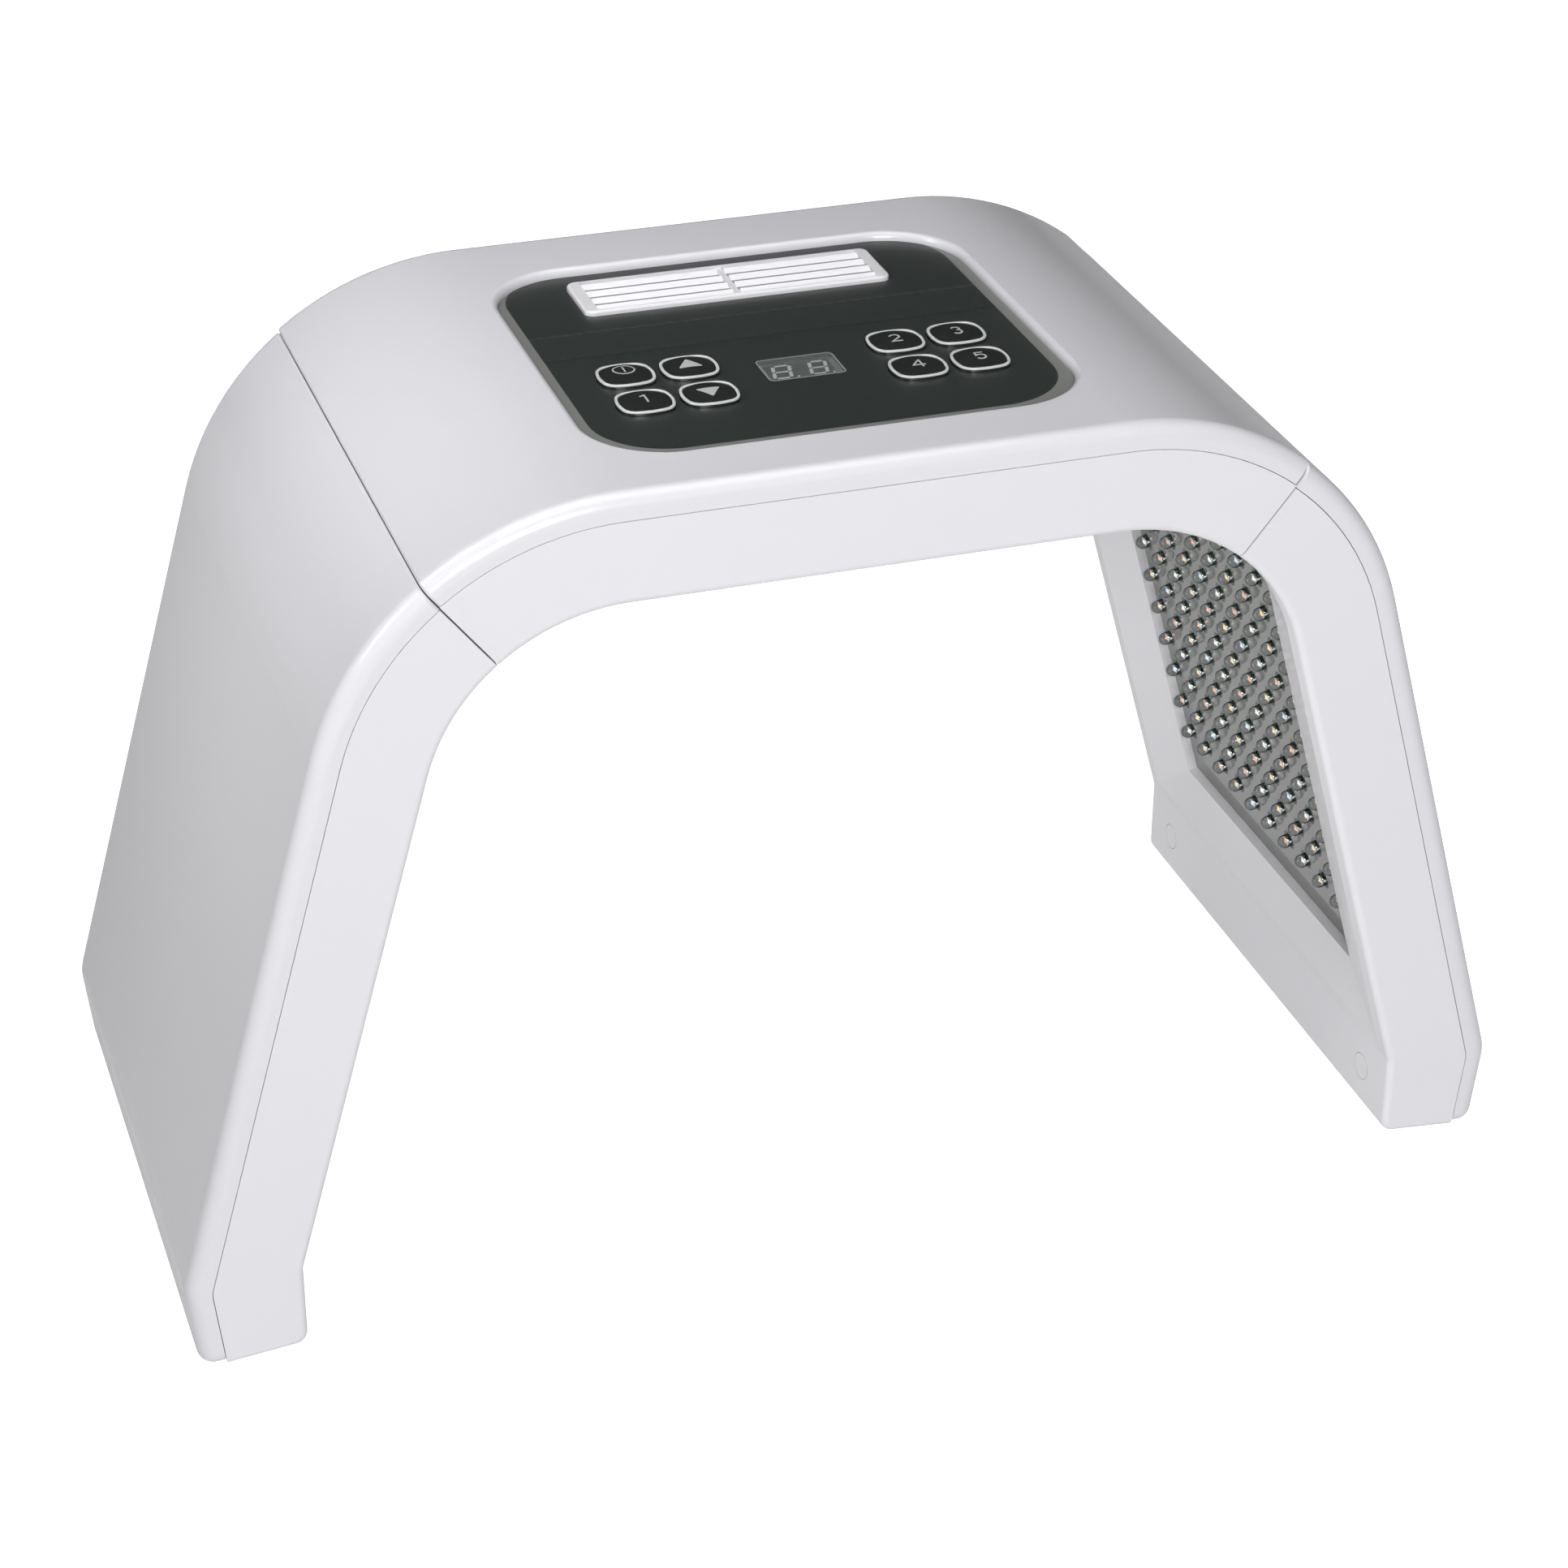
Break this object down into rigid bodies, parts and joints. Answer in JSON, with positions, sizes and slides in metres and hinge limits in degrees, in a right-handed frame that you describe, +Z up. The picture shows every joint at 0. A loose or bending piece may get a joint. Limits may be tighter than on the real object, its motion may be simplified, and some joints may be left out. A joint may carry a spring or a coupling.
{
  "type": "led light therapy device",
  "caption": "Folding light therapy arch: a centre section with a key panel and vent, hinged wings on both sides, and rows of lamps inside.",
  "frame": {"origin": "on the ground, midway between the feet and midway through the depth", "axes": "+X to the right as the keys are read, +Y away from the reader, +Z up; the arch spans X"},
  "size_m": [0.479, 0.2174, 0.3016],
  "materials": {
    "shell": "satin white moulding",
    "lamp_plate": "glossy grey",
    "circuit_board": "green solder mask",
    "lamp_lens": "clear epoxy",
    "overlay": "dark printed film",
    "display_lens": "smoked window",
    "black_part": "black moulding",
    "lead_sheath": "black sheath",
    "steel": "zinc plated",
    "pad_rubber": "soft grey",
    "key_cap": "glossy dark",
    "key_ring": "bright silver"
  },
  "bodies": {
    "centre": {"board_screws": "steel", "centre_cover": "shell", "centre_hinge_leaves": "steel", "centre_hinge_screws": "steel", "centre_lamp_board": "circuit_board", "centre_lamp_plate": "lamp_plate", "centre_lamps": "lamp_lens", "centre_screws": "steel", "centre_tray": "shell", "control_board": "circuit_board", "control_overlay": "overlay", "display_module": "black_part", "display_window": "display_lens", "driver_board": "circuit_board", "fan_housing": "black_part", "fan_screws": "steel", "hinge_pins": "steel", "jack_lead": "lead_sheath", "key_switches": "black_part", "power_jack": "black_part", "vent_grille": "shell"},
    "right_wing": {"right_wing_cover": "shell", "right_wing_foot_pads": "pad_rubber", "right_wing_foot_screws": "steel", "right_wing_hinge_leaves": "steel", "right_wing_hinge_screws": "steel", "right_wing_lamp_board": "circuit_board", "right_wing_lamp_plate": "lamp_plate", "right_wing_lamps": "lamp_lens", "right_wing_screw_plugs": "shell", "right_wing_tray": "shell"},
    "left_wing": {"left_wing_cover": "shell", "left_wing_foot_pads": "pad_rubber", "left_wing_foot_screws": "steel", "left_wing_hinge_leaves": "steel", "left_wing_hinge_screws": "steel", "left_wing_lamp_board": "circuit_board", "left_wing_lamp_plate": "lamp_plate", "left_wing_lamps": "lamp_lens", "left_wing_screw_plugs": "shell", "left_wing_tray": "shell"},
    "fan_impeller": {"fan_impeller": "black_part"},
    "power_key": {"power_key": "key_cap", "power_key_ring": "key_ring"},
    "up_key": {"up_key": "key_cap", "up_key_ring": "key_ring"},
    "infrared_key": {"infrared_key": "key_cap", "infrared_key_ring": "key_ring"},
    "down_key": {"down_key": "key_cap", "down_key_ring": "key_ring"},
    "red_key": {"red_key": "key_cap", "red_key_ring": "key_ring"},
    "green_key": {"green_key": "key_cap", "green_key_ring": "key_ring"},
    "blue_key": {"blue_key": "key_cap", "blue_key_ring": "key_ring"},
    "colour_key": {"colour_key": "key_cap", "colour_key_ring": "key_ring"}
  },
  "joints": [
    {"name": "right_wing_fold", "type": "hinge", "parent": "centre", "child": "right_wing", "pos_m": [0.12563, 0, 0.24896], "axis": [0, 1, 0], "range_deg": [0, 45]},
    {"name": "left_wing_fold", "type": "hinge", "parent": "centre", "child": "left_wing", "pos_m": [-0.12563, 0, 0.24896], "axis": [0, -1, 0], "range_deg": [0, 45]},
    {"name": "fan_spin", "type": "hinge", "parent": "centre", "child": "fan_impeller", "pos_m": [0, 0.0517, 0.2897], "axis": [0, 0, 1], "continuous": true},
    {"name": "power_press", "type": "slide", "parent": "centre", "child": "power_key", "axis": [0, 0, -1], "range_m": [0, 0.0005], "stiffness_N_per_m": 1500},
    {"name": "up_press", "type": "slide", "parent": "centre", "child": "up_key", "axis": [0, 0, -1], "range_m": [0, 0.0005], "stiffness_N_per_m": 1500},
    {"name": "infrared_press", "type": "slide", "parent": "centre", "child": "infrared_key", "axis": [0, 0, -1], "range_m": [0, 0.0005], "stiffness_N_per_m": 1500},
    {"name": "down_press", "type": "slide", "parent": "centre", "child": "down_key", "axis": [0, 0, -1], "range_m": [0, 0.0005], "stiffness_N_per_m": 1500},
    {"name": "red_press", "type": "slide", "parent": "centre", "child": "red_key", "axis": [0, 0, -1], "range_m": [0, 0.0005], "stiffness_N_per_m": 1500},
    {"name": "green_press", "type": "slide", "parent": "centre", "child": "green_key", "axis": [0, 0, -1], "range_m": [0, 0.0005], "stiffness_N_per_m": 1500},
    {"name": "blue_press", "type": "slide", "parent": "centre", "child": "blue_key", "axis": [0, 0, -1], "range_m": [0, 0.0005], "stiffness_N_per_m": 1500},
    {"name": "colour_press", "type": "slide", "parent": "centre", "child": "colour_key", "axis": [0, 0, -1], "range_m": [0, 0.0005], "stiffness_N_per_m": 1500}
  ]
}
